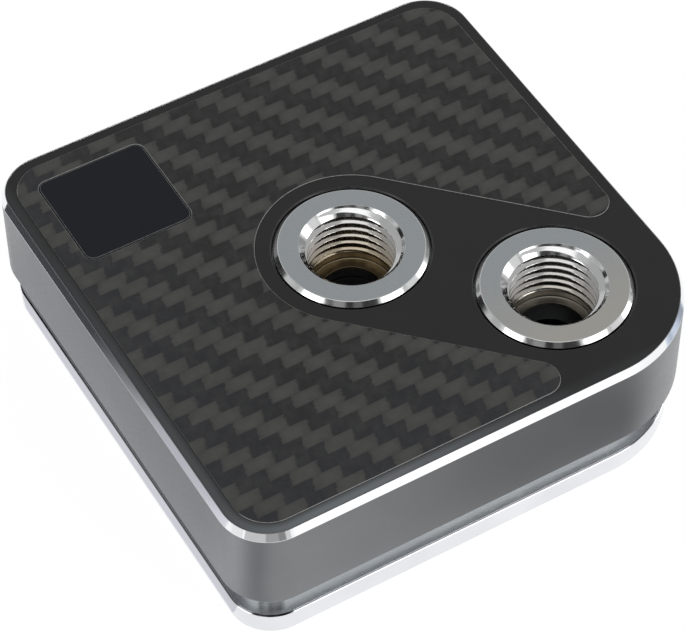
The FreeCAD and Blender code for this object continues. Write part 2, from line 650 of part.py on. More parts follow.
def build_screw(label, place, kind, height, head_up=False):
    """Countersunk hexagon socket screw. Its head's face is at the given height."""
    body = new_body(label, *place, height)
    if head_up:
        body.Placement = FreeCAD.Placement(FreeCAD.Vector(), FreeCAD.Rotation(FreeCAD.Vector(1, 0, 0), 180))
    shank, head, length = f"{kind}_screw_radius", f"{kind}_head_radius", f"{kind}_screw_length"
    turn(body, "screw", [
        ("0", "0"),
        (head, "0"),
        (shank, f"({head} - {shank})"),
        (shank, f"({length} - screw_tip)"),
        (f"({shank} - screw_tip)", length),
        ("0", length),
    ])
    corner = f"{kind}_socket_radius"
    high = f"({corner} * sqrt(0.75))"
    socket = new_sketch(body, "socket_outline")
    draw_polygon(socket, [
        (corner, "0"),
        (f"({corner} / 2)", high),
        (f"(-{corner} / 2)", high),
        (f"(-{corner})", "0"),
        (f"(-{corner} / 2)", f"(-{high})"),
        (f"({corner} / 2)", f"(-{high})"),
    ])
    pocket(body, "socket", socket, f"{kind}_socket_depth", upwards=True)


def check_document():
    """Stops if any object failed or any sub-part has no sound solid."""
    doc.recompute()
    for item in doc.Objects:
        if {"Invalid", "Error"} & set(item.State):
            raise RuntimeError(f"{item.Label} failed: {item.State}")
    for body in bodies:
        if body.Shape.isNull() or not body.Shape.isValid() or len(body.Shape.Solids) != 1:
            raise RuntimeError(f"{body.Label} is not one sound solid")


build_cold_plate()
build_jet_plate()
build_flow_guide()
build_ring_seal("guide_seal", ("0", "0"), ROOF, "spigot_radius", "guide_seal_width", SPIGOT_SEAT_DEPTH)
build_base_seal()
build_housing()
for name, port in zip(("inlet_collar", "outlet_collar"), PORTS):
    build_collar(name, port)
    seal_floor = f"({COVER_FLOOR} - collar_seal_height)"
    build_ring_seal(f"{name}_seal", port, seal_floor, SHANK_RADIUS, "collar_seal_width", "collar_seal_height")
build_cover_plate()
build_carbon_inlay()
build_badge_plate()
for number, centre in enumerate(base_screw_centres(), start=1):
    build_screw(f"base_screw_{number}", centre, "base", "base_head_recess")
for number, centre in enumerate(cover_screw_centres(), start=1):
    head_top = f"({INLAY_FLOOR} - cover_head_recess)"
    build_screw(f"cover_screw_{number}", centre, "cover", head_top, head_up=True)

check_document()
os.makedirs("parts", exist_ok=True)
for body in bodies:
    body.Shape.exportStep(f"parts/{body.Label}.step")
    print(f"{body.Label}: {body.Shape.Volume:.2f} cubic mm")
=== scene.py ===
import math

import bmesh
import bpy
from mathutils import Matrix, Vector
from mathutils.geometry import tessellate_polygon


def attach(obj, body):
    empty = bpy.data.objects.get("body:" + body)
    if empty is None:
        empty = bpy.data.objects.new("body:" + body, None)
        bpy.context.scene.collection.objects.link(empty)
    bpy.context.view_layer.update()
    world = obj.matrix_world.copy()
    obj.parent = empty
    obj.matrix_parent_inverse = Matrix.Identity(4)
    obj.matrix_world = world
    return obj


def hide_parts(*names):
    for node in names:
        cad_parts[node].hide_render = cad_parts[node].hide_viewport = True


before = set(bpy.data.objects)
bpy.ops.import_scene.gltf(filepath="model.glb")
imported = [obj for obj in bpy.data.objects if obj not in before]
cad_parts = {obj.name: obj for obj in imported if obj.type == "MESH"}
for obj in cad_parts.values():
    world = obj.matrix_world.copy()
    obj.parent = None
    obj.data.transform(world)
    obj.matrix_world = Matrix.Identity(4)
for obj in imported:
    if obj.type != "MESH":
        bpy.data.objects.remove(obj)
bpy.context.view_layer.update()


# Cold plate: the plate that lies on the chip. Nickel plated copper, milled and then lapped
# underneath to a mirror, with its rim left bright. It carries all the rest, screwed on from below.

MM = 0.001
LIP_BOTTOM = 3.24
LIP_TOP = 3.398


def put_node(tree, kind, inputs=None, **settings):
    """Adds a node. An input takes a number, a colour or the output of another node."""
    node = tree.nodes.new(kind)
    for name, value in settings.items():
        setattr(node, name, value)
    for socket, value in (inputs or {}).items():
        if isinstance(value, bpy.types.NodeSocket):
            tree.links.new(value, node.inputs[socket])
        else:
            node.inputs[socket].default_value = value
    return node


def new_material(name, inputs):
    """Makes a material and returns it with its node tree and its shader."""
    material = bpy.data.materials.new(name)
    material.use_nodes = True
    shader = material.node_tree.nodes["Principled BSDF"]
    for socket, value in inputs.items():
        shader.inputs[socket].default_value = value
    return material, material.node_tree, shader


def grain(tree, size, detail=3.0, stretch=(1, 1, 1)):
    """Noise on the object's own coordinates, with spots of about that size in millimetres."""
    place = put_node(tree, "ShaderNodeTexCoord").outputs["Object"]
    scale = tuple(1 / (size * MM * factor) for factor in stretch)
    scaled = put_node(tree, "ShaderNodeMapping", {"Vector": place, "Scale": scale})
    noise = put_node(tree, "ShaderNodeTexNoise",
                     {"Vector": scaled.outputs["Vector"], "Scale": 1.0, "Detail": detail})
    return noise.outputs["Fac"]


def spread(tree, value, low, high):
    """Maps a noise value to the range from low to high."""
    node = put_node(tree, "ShaderNodeMapRange",
                    {"Value": value, "From Min": 0.3, "From Max": 0.7, "To Min": low, "To Max": high})
    return node.outputs["Result"]


def tint(tree, value, low, high):
    """Mixes two colours by a value from 0 to 1."""
    node = put_node(tree, "ShaderNodeMix", data_type="RGBA")
    for socket, content in ((0, value), (6, low), (7, high)):
        if isinstance(content, bpy.types.NodeSocket):
            tree.links.new(content, node.inputs[socket])
        else:
            node.inputs[socket].default_value = (*content, 1)
    return node.outputs[2]


def work_out(tree, operation, *values):
    """Adds a node for one step of arithmetic and returns its result."""
    return put_node(tree, "ShaderNodeMath", dict(enumerate(values)), operation=operation).outputs[0]


def ramp(tree, value, start, end, low=0.0, high=1.0):
    """Goes from low to high while the value goes from start to end."""
    node = put_node(tree, "ShaderNodeMapRange",
                    {"Value": value, "From Min": start, "From Max": end, "To Min": low, "To Max": high})
    return node.outputs["Result"]


def axes(tree):
    """Splits the object's own coordinates into X, Y and Z."""
    place = put_node(tree, "ShaderNodeTexCoord").outputs["Object"]
    return put_node(tree, "ShaderNodeSeparateXYZ", {"Vector": place}).outputs


def roughen(tree, shader, height, depth):
    """Gives the shader a bump from a height value; depth is in millimetres."""
    bump = put_node(tree, "ShaderNodeBump", {"Height": height, "Distance": depth * MM, "Strength": 1.0})
    tree.links.new(bump.outputs["Normal"], shader.inputs["Normal"])


def surface(tree, shader, colour, roughness):
    """Leads a colour and a roughness into the shader."""
    tree.links.new(colour, shader.inputs["Base Color"])
    tree.links.new(roughness, shader.inputs["Roughness"])


def dress(node_name, material):
    """Gives a CAD solid that stays as it is its material."""
    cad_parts[node_name].material_slots[0].material = material


nickel, tree, shader = new_material("lapped_nickel", {"Metallic": 1.0})
clouds = spread(tree, grain(tree, 9.0), 0.0, 1.0)
bare = tint(tree, clouds, (0.77, 0.78, 0.81), (0.84, 0.85, 0.87))

# Painted shadow: a dark line is painted round the upper edge of the plate's side, under the housing's neck.
level = axes(tree)["Z"]
from_below = ramp(tree, level, LIP_BOTTOM * MM, (LIP_BOTTOM + 0.03) * MM)
from_above = ramp(tree, level, LIP_TOP * MM, (LIP_TOP - 0.013) * MM)
painted_neck_shadow = work_out(tree, "MULTIPLY", from_below, from_above)
surface(tree, shader, tint(tree, painted_neck_shadow, bare, (0.10, 0.10, 0.11)),
        spread(tree, grain(tree, 1.5, 5.0), 0.10, 0.18))
roughen(tree, shader, grain(tree, 0.12, 2.0, (6, 1, 1)), 0.0006)
dress("cold_plate", nickel)


# Inner parts, out of sight: a thin steel sheet with one slot lies on the fins, a moulded block
# leads the coolant down to it, and moulded rubber rings seal the joints.

sheet_steel, tree, shader = new_material("rolled_sheet_steel", {"Metallic": 1.0})
rolling = spread(tree, grain(tree, 0.08, 3.0, (60, 1, 1)), 0.0, 1.0)
surface(tree, shader, tint(tree, rolling, (0.50, 0.50, 0.49), (0.62, 0.62, 0.61)),
        spread(tree, rolling, 0.24, 0.36))
roughen(tree, shader, rolling, 0.002)
dress("jet_plate", sheet_steel)

moulding, tree, shader = new_material("moulded_polymer", {"IOR": 1.5})
flow_marks = spread(tree, grain(tree, 4.0, 2.0, (3, 1, 1)), 0.0, 1.0)
surface(tree, shader, tint(tree, flow_marks, (0.035, 0.037, 0.04), (0.05, 0.052, 0.055)),
        spread(tree, grain(tree, 0.3), 0.42, 0.58))
roughen(tree, shader, grain(tree, 0.15, 4.0), 0.006)
dress("flow_guide", moulding)

rubber, tree, shader = new_material("seal_rubber", {"IOR": 1.5})
bloom = spread(tree, grain(tree, 1.2, 4.0), 0.0, 1.0)
surface(tree, shader, tint(tree, bloom, (0.010, 0.010, 0.011), (0.022, 0.022, 0.023)),
        spread(tree, bloom, 0.5, 0.7))
roughen(tree, shader, grain(tree, 0.06, 3.0), 0.004)
for seal in ("guide_seal", "base_seal", "inlet_collar_seal", "outlet_collar_seal"):
    dress(seal, rubber)


# Housing: milled from one block of aluminium, blasted and dark anodised. The chamfer round its
# top was cut bright afterwards. A groove for the bracket runs round it above the cold plate.

def round_off(corners, step=4.0, hold=0.3):
    """Rounds the corners (x, y, radius) of a closed line, with a point beside each arc."""
    points = []
    for index, (x, y, radius) in enumerate(corners):
        here = Vector((x, y))
        if not radius:
            points.append(here)
            continue
        before = (Vector(corners[index - 1][:2]) - here).normalized()
        after = (Vector(corners[(index + 1) % len(corners)][:2]) - here).normalized()
        half_angle = before.angle(after) / 2
        reach = radius / math.tan(half_angle)
        centre = here + (before + after).normalized() * (radius / math.sin(half_angle))
        first = here + before * reach
        last = here + after * reach
        start = math.atan2(first.y - centre.y, first.x - centre.x)
        turn = math.atan2(last.y - centre.y, last.x - centre.x) - start
        turn = (turn + math.pi) % (2 * math.pi) - math.pi
        count = max(2, math.ceil(abs(math.degrees(turn)) / step - 0.001))
        points.append(first + before * hold)
        for number in range(count + 1):
            angle = start + turn * number / count
            points.append(centre + Vector((math.cos(angle), math.sin(angle))) * radius)
        points.append(last + after * hold)
    return points


def plate_outline(half, corner, port_corner):
    """Outline of a square plate whose corner beside the ports has its own radius."""
    return round_off([(half, half, corner), (-half, half, corner), (-half, -half, corner),
                      (half, -half, port_corner)])


def circle(radius, centre=(0, 0), count=96):
    """Points round a circle."""
    angles = [2 * math.pi * number / count for number in range(count)]
    return [Vector((centre[0] + radius * math.cos(a), centre[1] + radius * math.sin(a))) for a in angles]


def ring(mesh, outline, height):
    """Adds an outline's points to the mesh at a height in millimetres."""
    return [mesh.verts.new((point[0] * MM, point[1] * MM, height * MM)) for point in outline]


def wall(mesh, rings, finish=0):
    """Joins rings of equal numbers of points, one above the other, with faces."""
    for low, high in zip(rings, rings[1:]):
        for index in range(len(low)):
            after = (index + 1) % len(low)
            face = mesh.faces.new((low[index], low[after], high[after], high[index]))
            face.material_index = finish


def floor_face(mesh, rings):
    """Fills the flat area inside the first ring and outside the others."""
    corners = [vertex for line in rings for vertex in line]
    for triangle in tessellate_polygon([[vertex.co for vertex in line] for line in rings]):
        mesh.faces.new([corners[index] for index in triangle])


def make_piece(mesh, name, materials, sharp=35):
    """Turns the faces outwards and makes the mesh an object with soft shading."""
    bmesh.ops.recalc_face_normals(mesh, faces=mesh.faces)
    data = bpy.data.meshes.new(name)
    mesh.to_mesh(data)
    mesh.free()
    for material in materials:
        data.materials.append(material)
    data.shade_smooth()
    data.set_sharp_from_angle(angle=math.radians(sharp))
    piece = bpy.data.objects.new(name, data)
    bpy.context.scene.collection.objects.link(piece)
    return piece


SQUARE_CORNERS = ((1, 1), (-1, 1), (-1, -1), (1, -1))
PORT_CENTRES = {"inlet": (0.0, 0.0), "outlet": (18.95, -18.95)}
HOLE_RADII = {"inlet": 4.14, "outlet": 4.6}
HOUSING_HALF = 35.5
HOUSING_CORNER = 6.8
PORT_CORNER = 16.3
NECK_INSET = 2.4
NECK_BOTTOM = 3.4
RIM_BOTTOM = 7.8
CHAMFER_BOTTOM = 20.35
CHAMFER_INSET = 0.55
COVER_INSET = 0.67
TOP = 21.4
COVER_FLOOR = 19.9
FLANGE_SEAT_RADIUS = 9.5
FLANGE_SEAT = 19.0
SPIGOT_RADIUS = 8.0
SPIGOT_SEAT = 12.2
WAY_IN_RADIUS = 7.4
WAY_IN_TOP = 11.0
CHAMBER_HALF = 23.5
CHAMBER_CORNERS = (5.0, 8.0)
CHAMBER_ROOF = 9.4
SEAL_GROOVE_HALVES = (27.1, 24.9)
SEAL_GROOVE_ROOF = 4.9
SEAL_ARC_CENTRE = 20.0
SEAL_PORT_ARC_CENTRE = 16.0
COVER_SCREWS = ((28.0, 28.0), (-28.0, 28.0), (-28.0, -28.0), (28.0, -4.0), (4.0, -28.0))
COVER_SCREW_HOLE = 1.05
COVER_SCREW_END = 16.0
BASE_SCREW_ROW = 29.6
BASE_SCREW_CORNER = 26.56
BASE_SCREW_HOLE = 1.55
BASE_SCREW_END = 9.0
SATIN, BRIGHT_CUT, MILLED = range(3)

housing_profile = round_off([
    (COVER_INSET, COVER_FLOOR, 0), (NECK_INSET, NECK_BOTTOM, 0), (NECK_INSET, RIM_BOTTOM, 0.1),
    (0.0, RIM_BOTTOM, 0.15), (0.0, CHAMFER_BOTTOM, 0.12), (CHAMFER_INSET, TOP, 0.02),
    (COVER_INSET, TOP, 0.03)], 15, 0.01)
mesh = bmesh.new()
outer_rings = []
for inset, height in housing_profile[1:] + housing_profile[:1]:
    outline = plate_outline(HOUSING_HALF - inset, HOUSING_CORNER - inset, PORT_CORNER - inset)
    outer_rings.append(ring(mesh, outline, height))
for low, high in zip(outer_rings, outer_rings[1:]):
    middle = (low[0].co.z + high[0].co.z) / 2 / MM
    finish = SATIN
    if middle < RIM_BOTTOM - 0.05:
        finish = MILLED
    elif CHAMFER_BOTTOM - 0.02 < middle < TOP - 0.01:
        finish = BRIGHT_CUT
    wall(mesh, [low, high], finish)

floor_rings = [outer_rings[-1]]
roof_rings = []
for port, centre in PORT_CENTRES.items():
    hole_radius = HOLE_RADII[port]
    seat = [ring(mesh, circle(radius, centre), height) for radius, height in (
        (FLANGE_SEAT_RADIUS, COVER_FLOOR), (FLANGE_SEAT_RADIUS, FLANGE_SEAT),
        (SPIGOT_RADIUS, FLANGE_SEAT), (SPIGOT_RADIUS, SPIGOT_SEAT), (hole_radius, SPIGOT_SEAT))]
    wall(mesh, seat)
    floor_rings.append(seat[0])
    passage = [seat[-1]]
    if port == "inlet":
        passage += [ring(mesh, circle(radius, centre), WAY_IN_TOP) for radius in (hole_radius, WAY_IN_RADIUS)]
        hole_radius = WAY_IN_RADIUS
    passage.append(ring(mesh, circle(hole_radius, centre), CHAMBER_ROOF))
    wall(mesh, passage)
    roof_rings.append(passage[-1])
for centre in COVER_SCREWS:
    outline = circle(COVER_SCREW_HOLE, centre, 32)
    hole = [ring(mesh, outline, height) for height in (COVER_FLOOR, COVER_SCREW_END)]
    wall(mesh, hole)
    floor_rings.append(hole[0])
    floor_face(mesh, hole[1:])
floor_face(mesh, floor_rings)
outline = plate_outline(CHAMBER_HALF, *CHAMBER_CORNERS)
chamber = [ring(mesh, outline, height) for height in (NECK_BOTTOM, CHAMBER_ROOF)]
wall(mesh, chamber)
floor_face(mesh, [chamber[1]] + roof_rings)
outer_half, inner_half = SEAL_GROOVE_HALVES
seal_groove = []
for half, height in ((outer_half, NECK_BOTTOM), (outer_half, SEAL_GROOVE_ROOF),
                     (inner_half, SEAL_GROOVE_ROOF), (inner_half, NECK_BOTTOM)):
    outline = plate_outline(half, half - SEAL_ARC_CENTRE, half - SEAL_PORT_ARC_CENTRE)
    seal_groove.append(ring(mesh, outline, height))
wall(mesh, seal_groove)
floor_face(mesh, [seal_groove[3], chamber[0]])
bottom_rings = [outer_rings[0], seal_groove[0]]
base_screws = [(BASE_SCREW_ROW, 0.0), (0.0, BASE_SCREW_ROW), (-BASE_SCREW_ROW, 0.0), (0.0, -BASE_SCREW_ROW)]
base_screws += [(x * BASE_SCREW_ROW, y * BASE_SCREW_ROW) for x, y in SQUARE_CORNERS[:3]]
base_screws += [(BASE_SCREW_CORNER, -BASE_SCREW_CORNER)]
for centre in base_screws:
    outline = circle(BASE_SCREW_HOLE, centre, 32)
    hole = [ring(mesh, outline, height) for height in (NECK_BOTTOM, BASE_SCREW_END)]
    wall(mesh, hole)
    bottom_rings.append(hole[0])
    floor_face(mesh, hole[1:])
floor_face(mesh, bottom_rings)

satin, tree, shader = new_material("blasted_dark_anodised", {"Metallic": 1.0})
patches = spread(tree, grain(tree, 14.0, 2.0), 0.0, 1.0)
surface(tree, shader, tint(tree, patches, (0.235, 0.24, 0.25), (0.26, 0.265, 0.272)),
        spread(tree, grain(tree, 0.5, 5.0), 0.36, 0.44))
roughen(tree, shader, grain(tree, 0.10, 4.0), 0.0035)

bright_cut, tree, shader = new_material("bright_cut_chamfer", {"Metallic": 1.0})
cutter = spread(tree, grain(tree, 0.05, 2.0, (30, 30, 1)), 0.0, 1.0)
surface(tree, shader, tint(tree, cutter, (0.87, 0.88, 0.90), (0.92, 0.92, 0.93)),
        spread(tree, cutter, 0.05, 0.09))
roughen(tree, shader, cutter, 0.0002)

milled, tree, shader = new_material("milled_groove", {"Metallic": 1.0})
passes = spread(tree, grain(tree, 0.10, 3.0, (20, 20, 1)), 0.0, 1.0)
surface(tree, shader, tint(tree, passes, (0.82, 0.87, 0.89), (0.90, 0.94, 0.95)),
        spread(tree, passes, 0.17, 0.23))
roughen(tree, shader, passes, 0.0004)

housing = make_piece(mesh, "housing_shell", [satin, bright_cut, milled])
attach(housing, "root")
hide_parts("housing")


# Base screws: eight countersunk steel screws with hexagon sockets, driven from below through the
# cold plate into the housing. They stop at whatever angle they come to.

SCREW_LENGTH = 8.0
HEAD_RADIUS = 2.8
HEAD_HEIGHT = 1.3
SHANK_RADIUS = 1.5
TIP_CHAMFER = 0.25
SOCKET_RADIUS = 1.15
SOCKET_DEPTH = 1.0
SCREW_RECESS = 0.2

screw_steel, tree, shader = new_material("zinc_plated_steel", {"Metallic": 1.0})
plating = spread(tree, grain(tree, 0.8, 4.0), 0.0, 1.0)
surface(tree, shader, tint(tree, plating, (0.42, 0.43, 0.45), (0.56, 0.57, 0.58)),
        spread(tree, plating, 0.2, 0.34))
roughen(tree, shader, grain(tree, 0.1, 3.0), 0.002)

mesh = bmesh.new()
corner_angles = [math.radians(60 * step) for step in range(6)]
socket_outline = [Vector((SOCKET_RADIUS * math.cos(a), SOCKET_RADIUS * math.sin(a))) for a in corner_angles]
screw_profile = round_off([
    (1.0, 0.0, 0), (HEAD_RADIUS, 0.0, 0.06), (SHANK_RADIUS, HEAD_HEIGHT, 0.1),
    (SHANK_RADIUS, SCREW_LENGTH - TIP_CHAMFER, 0), (SHANK_RADIUS - TIP_CHAMFER, SCREW_LENGTH, 0),
    (1.0, SCREW_LENGTH, 0)], 20, 0.02)
screw_rings = [ring(mesh, circle(radius, count=48), height) for radius, height in screw_profile[1:-1]]
wall(mesh, screw_rings)
socket = [ring(mesh, socket_outline, height) for height in (0.0, SOCKET_DEPTH)]
wall(mesh, socket)
floor_face(mesh, [socket[1]])
floor_face(mesh, [screw_rings[0], socket[0]])
floor_face(mesh, [screw_rings[-1]])
one_screw = make_piece(mesh, "one_base_screw", [screw_steel])


def bake(piece, tree, inputs):
    """Runs a Geometry Nodes tree on a piece and keeps the result as a plain mesh."""
    modifier = piece.modifiers.new("build", "NODES")
    modifier.node_group = tree
    for item in tree.interface.items_tree:
        if item.item_type == "SOCKET" and item.in_out == "INPUT" and item.name in inputs:
            modifier[item.identifier] = inputs[item.name]
    evaluated = piece.evaluated_get(bpy.context.evaluated_depsgraph_get())
    data = bpy.data.meshes.new_from_object(evaluated)
    piece.modifiers.clear()
    piece.data = data


def new_tree(name, sizes):
    """Makes a Geometry Nodes tree with a named input for each size."""
    tree = bpy.data.node_groups.new(name, "GeometryNodeTree")
    tree.interface.new_socket("Geometry", in_out="INPUT", socket_type="NodeSocketGeometry")
    for size, kind in sizes.items():
        tree.interface.new_socket(size, in_out="INPUT", socket_type=kind)
    tree.interface.new_socket("Geometry", in_out="OUTPUT", socket_type="NodeSocketGeometry")
    return tree, tree.nodes.new("NodeGroupInput"), tree.nodes.new("NodeGroupOutput")


def end_tree(tree, output, geometry, material):
    """Ends a tree with real geometry in its material."""
    real = put_node(tree, "GeometryNodeRealizeInstances", {"Geometry": geometry})
    coated = put_node(tree, "GeometryNodeSetMaterial",
                      {"Geometry": real.outputs["Geometry"], "Material": material})
    tree.links.new(coated.outputs["Geometry"], output.inputs["Geometry"])


tree, given, result = new_tree("screws_at_points", {
    "Screw": "NodeSocketObject", "Height": "NodeSocketFloat", "Seed": "NodeSocketInt"})
one = put_node(tree, "GeometryNodeObjectInfo", {"Object": given.outputs["Screw"]})
turned = put_node(tree, "FunctionNodeRandomValue", {"Seed": given.outputs["Seed"]},
                  data_type="FLOAT_VECTOR")
turned.inputs["Min"].default_value = (0, 0, 0)
turned.inputs["Max"].default_value = (0, 0, math.radians(60))
lift = put_node(tree, "ShaderNodeCombineXYZ", {"Z": given.outputs["Height"]})
raised = put_node(tree, "GeometryNodeSetPosition",
                  {"Geometry": given.outputs["Geometry"], "Offset": lift.outputs["Vector"]})
placed = put_node(tree, "GeometryNodeInstanceOnPoints", {
    "Points": raised.outputs["Geometry"], "Instance": one.outputs["Geometry"],
    "Rotation": turned.outputs["Value"]})
end_tree(tree, result, placed.outputs["Instances"], screw_steel)

mesh = bmesh.new()
ring(mesh, base_screws, 0.0)
base_row = make_piece(mesh, "base_screws", [screw_steel])
bake(base_row, tree, {"Screw": one_screw, "Height": SCREW_RECESS * MM, "Seed": 5})
bpy.data.objects.remove(one_screw)
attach(base_row, "root")
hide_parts(*[f"base_screw_{number}" for number in range(1, 9)])


# Inlet and outlet collars: turned from brass, nickel plated, threaded inside for a fitting. Their
# flats are fine turned, their bevels polished. The plating thins out and shows brass in the bore.

COLLAR_STEPS = 240
THREAD_ROWS = 301
COLLAR_TOP = 21.85
FLAT_RADIUS = 9.59
FLANGE_RADIUS = 10.17
BEVEL_BOTTOM = 21.27
MOUTH_RADIUS = 6.93
THREAD_TOP = 21.80
THREAD_BOTTOM = 13.0
THREAD_RADIUS = 5.72
THREAD_PITCH = 1.31
THREAD_DEPTH = 1.2
LAST_GROOVE = 14.1
CREST_HEIGHT = 20.84
CONE_FOOT = 20.64
POLISH_BOTTOM = 20.4
LEDGE = 12.7
BRASS_TINTS = {"inlet": (0.47, 0.39, 0.27), "outlet": (0.50, 0.47, 0.42)}
TURNED, POLISHED, BORE, FOOT = range(4)

turned_flat, tree, shader = new_material("fine_turned_nickel", {"Metallic": 1.0})
# Painted light: the turned flats are painted lighter and warmer towards minus Y, on the near side.
painted_warm_light = ramp(tree, axes(tree)["Y"], -14.0 * MM, -26.0 * MM, 0.0, 0.8)
marks = spread(tree, grain(tree, 0.25, 4.0), 0.0, 1.0)
cool = tint(tree, marks, (0.44, 0.475, 0.49), (0.47, 0.50, 0.515))
surface(tree, shader, tint(tree, painted_warm_light, cool, (0.565, 0.54, 0.49)),
        spread(tree, marks, 0.24, 0.29))
roughen(tree, shader, marks, 0.0004)

polished, tree, shader = new_material("polished_nickel", {"Metallic": 1.0})
film = spread(tree, grain(tree, 2.0, 3.0), 0.0, 1.0)
surface(tree, shader, tint(tree, film, (0.84, 0.85, 0.86), (0.90, 0.90, 0.90)),
        spread(tree, film, 0.10, 0.15))
roughen(tree, shader, grain(tree, 0.3, 2.0), 0.0002)

bores = {}
feet = {}
for port, brass in BRASS_TINTS.items():
    bores[port], tree, shader = new_material(f"{port}_bore", {"Metallic": 1.0})
    depth = ramp(tree, axes(tree)["Z"], POLISH_BOTTOM * MM, 13.6 * MM)
    surface(tree, shader, tint(tree, depth, (0.70, 0.70, 0.70), brass),
            spread(tree, grain(tree, 0.5, 3.0), 0.08, 0.15))
    roughen(tree, shader, grain(tree, 0.15, 2.0), 0.0004)

    feet[port], tree, shader = new_material(f"{port}_drilled_foot", {"Metallic": 1.0})
    stains = spread(tree, grain(tree, 1.2, 3.0), 0.0, 1.0)
    pale = [part * 0.85 for part in brass]
    deep = [part * 0.55 for part in brass]
    surface(tree, shader, tint(tree, stains, deep, pale),
            spread(tree, stains, 0.28, 0.38))
    roughen(tree, shader, grain(tree, 0.15, 2.0), 0.001)

tree, given, result = new_tree("thread_in_bore", {
    "Pitch": "NodeSocketFloat", "Crest Radius": "NodeSocketFloat", "Depth": "NodeSocketFloat",
    "Top": "NodeSocketFloat", "Bottom": "NodeSocketFloat", "Cone Foot": "NodeSocketFloat",
    "Last Groove": "NodeSocketFloat", "Start": "NodeSocketFloat", "Full Depth": "NodeSocketFloat",
    "First Crest": "NodeSocketFloat", "Crest Angle": "NodeSocketFloat", "Centre": "NodeSocketVector",
    "Columns": "NodeSocketInt", "Rows": "NodeSocketInt"})
sheet = put_node(tree, "GeometryNodeMeshGrid", {
    "Size X": 1.0, "Size Y": 1.0,
    "Vertices X": given.outputs["Columns"], "Vertices Y": given.outputs["Rows"]})
place = put_node(tree, "ShaderNodeSeparateXYZ",
                 {"Vector": put_node(tree, "GeometryNodeInputPosition").outputs["Position"]})
turn = work_out(tree, "ADD", place.outputs["X"], 0.5)
angle = work_out(tree, "MULTIPLY", turn, 2 * math.pi)
span = work_out(tree, "SUBTRACT", given.outputs["Top"], given.outputs["Bottom"])
rise = work_out(tree, "MULTIPLY", work_out(tree, "ADD", place.outputs["Y"], 0.5), span)
level = work_out(tree, "ADD", given.outputs["Bottom"], rise)

# The vee runs from 0 at a crest to 1 in the middle of a groove. Both are rounded a little.
from_crest = work_out(tree, "SUBTRACT", level, given.outputs["First Crest"])
climb = work_out(tree, "DIVIDE", from_crest, given.outputs["Pitch"])
turned_by = work_out(tree, "SUBTRACT", turn, given.outputs["Crest Angle"])
phase = work_out(tree, "SUBTRACT", climb, turned_by)
vee = work_out(tree, "PINGPONG", work_out(tree, "MULTIPLY", phase, 2.0), 1.0)
crest_flat = 0.05
crest_rounding = 0.14
root_flat = 0.93
root_rounding = 0.12
groove = work_out(tree, "SUBTRACT", vee, crest_flat)
groove = work_out(tree, "SMOOTH_MAX", groove, 0.0, crest_rounding)
groove = work_out(tree, "SMOOTH_MIN", groove, root_flat, root_rounding)

# The groove runs out above the ledge, and its first turn cuts in from nothing below the mouth.
fade = work_out(tree, "SUBTRACT", level, given.outputs["Last Groove"])
runout_half = 0.3 * MM
runout = put_node(tree, "ShaderNodeMapRange",
                  {"Value": fade, "From Min": -runout_half, "From Max": runout_half},
                  interpolation_type="SMOOTHSTEP")
groove = work_out(tree, "MULTIPLY", groove, runout.outputs["Result"])
run_in = put_node(tree, "ShaderNodeMapRange", {
    "Value": turn, "From Min": given.outputs["Start"], "From Max": given.outputs["Full Depth"]},
    interpolation_type="SMOOTHSTEP")
below_first = work_out(tree, "LESS_THAN", phase, 0.0)
cut_in = work_out(tree, "MAXIMUM", run_in.outputs["Result"], below_first)
groove = work_out(tree, "MULTIPLY", groove, cut_in)
thread = work_out(tree, "MULTIPLY_ADD", groove, given.outputs["Depth"], given.outputs["Crest Radius"])

# A cone of 45 degrees opens the mouth and blends into the thread below it.
mouth_blend = 0.10
above = work_out(tree, "SUBTRACT", level, given.outputs["Cone Foot"])
cone = work_out(tree, "ADD", given.outputs["Crest Radius"], above)
radius = work_out(tree, "SMOOTH_MAX", thread, cone, mouth_blend * MM)
to_mouth = ramp(tree, level, THREAD_TOP * MM, (THREAD_TOP - mouth_blend) * MM)
radius = put_node(tree, "ShaderNodeMix", {0: to_mouth, 2: cone, 3: radius}).outputs[0]
on_bore = put_node(tree, "ShaderNodeCombineXYZ", {
    "X": work_out(tree, "MULTIPLY", work_out(tree, "COSINE", angle), radius),
    "Y": work_out(tree, "MULTIPLY", work_out(tree, "SINE", angle), radius), "Z": level})
moved = put_node(tree, "ShaderNodeVectorMath",
                 {0: on_bore.outputs["Vector"], 1: given.outputs["Centre"]}, operation="ADD")
bent = put_node(tree, "GeometryNodeSetPosition",
                {"Geometry": sheet.outputs["Mesh"], "Position": moved.outputs["Vector"]})
joined = put_node(tree, "GeometryNodeMergeByDistance",
                  {"Geometry": bent.outputs["Geometry"], "Distance": 0.001 * MM})
end_tree(tree, result, joined.outputs["Geometry"], polished)

